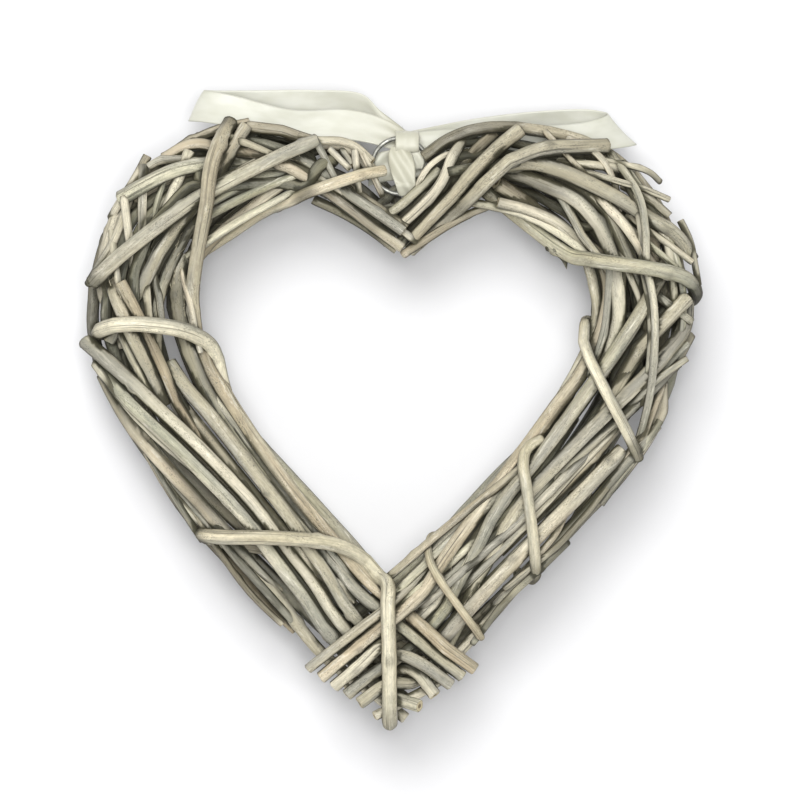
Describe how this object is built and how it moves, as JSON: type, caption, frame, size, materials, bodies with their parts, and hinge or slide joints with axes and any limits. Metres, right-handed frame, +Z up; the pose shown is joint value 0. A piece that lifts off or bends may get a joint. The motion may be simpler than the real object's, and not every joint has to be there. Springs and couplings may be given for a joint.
{
  "type": "wicker heart wreath",
  "caption": "Heart-shaped wreath of bound greywashed willow canes, with a steel hanging ring at the notch and a cream satin ribbon bow.",
  "frame": {"origin": "centre of the hanging ring at the heart's notch, which holds the wreath up", "axes": "+Z up, towards what it hangs from; +X to the right as seen from the front; the front faces -Y and the back +Y"},
  "size_m": [0.3075, 0.0629, 0.3165],
  "materials": {
    "greywashed_willow": "dry greywashed willow cane, matt",
    "binding_willow": "dry greywashed willow cane, slightly lighter, matt",
    "ring_steel": "dull grey steel wire",
    "cream_satin": "cream satin ribbon, soft sheen"
  },
  "bodies": {
    "root": {"back_cane_left_01": "greywashed_willow", "back_cane_left_02": "greywashed_willow", "back_cane_left_03": "greywashed_willow", "back_cane_left_04": "greywashed_willow", "back_cane_left_05": "greywashed_willow", "back_cane_right_01": "greywashed_willow", "back_cane_right_02": "greywashed_willow", "back_cane_right_03": "greywashed_willow", "back_cane_right_04": "greywashed_willow", "back_cane_right_05": "greywashed_willow", "binding_cane_01": "binding_willow", "binding_cane_02": "binding_willow", "binding_cane_03": "binding_willow", "binding_cane_04": "binding_willow", "binding_cane_05": "binding_willow", "binding_cane_06": "binding_willow", "binding_cane_07": "binding_willow", "core_cane_left_01": "greywashed_willow", "core_cane_right_01": "greywashed_willow", "front_cane_left_01": "greywashed_willow", "front_cane_left_02": "greywashed_willow", "front_cane_left_03": "greywashed_willow", "front_cane_left_04": "greywashed_willow", "front_cane_left_05": "greywashed_willow", "front_cane_left_06": "greywashed_willow", "front_cane_left_07": "greywashed_willow", "front_cane_left_08": "greywashed_willow", "front_cane_left_09": "greywashed_willow", "front_cane_left_10": "greywashed_willow", "front_cane_left_11": "greywashed_willow", "front_cane_left_12": "greywashed_willow", "front_cane_left_13": "greywashed_willow", "front_cane_left_14": "greywashed_willow", "front_cane_left_15": "greywashed_willow", "front_cane_left_16": "greywashed_willow", "front_cane_left_17": "greywashed_willow", "front_cane_left_18": "greywashed_willow", "front_cane_left_19": "greywashed_willow", "front_cane_left_20": "greywashed_willow", "front_cane_right_01": "greywashed_willow", "front_cane_right_02": "greywashed_willow", "front_cane_right_03": "greywashed_willow", "front_cane_right_04": "greywashed_willow", "front_cane_right_05": "greywashed_willow", "front_cane_right_06": "greywashed_willow", "front_cane_right_07": "greywashed_willow", "front_cane_right_08": "greywashed_willow", "front_cane_right_09": "greywashed_willow", "front_cane_right_10": "greywashed_willow", "front_cane_right_11": "greywashed_willow", "front_cane_right_12": "greywashed_willow", "front_cane_right_13": "greywashed_willow", "front_cane_right_14": "greywashed_willow", "front_cane_right_15": "greywashed_willow", "front_cane_right_16": "greywashed_willow", "front_cane_right_17": "greywashed_willow", "front_cane_right_18": "greywashed_willow", "front_cane_right_19": "greywashed_willow", "hanging_ring": "ring_steel", "ribbon_bow": "cream_satin"}
  },
  "joints": []
}
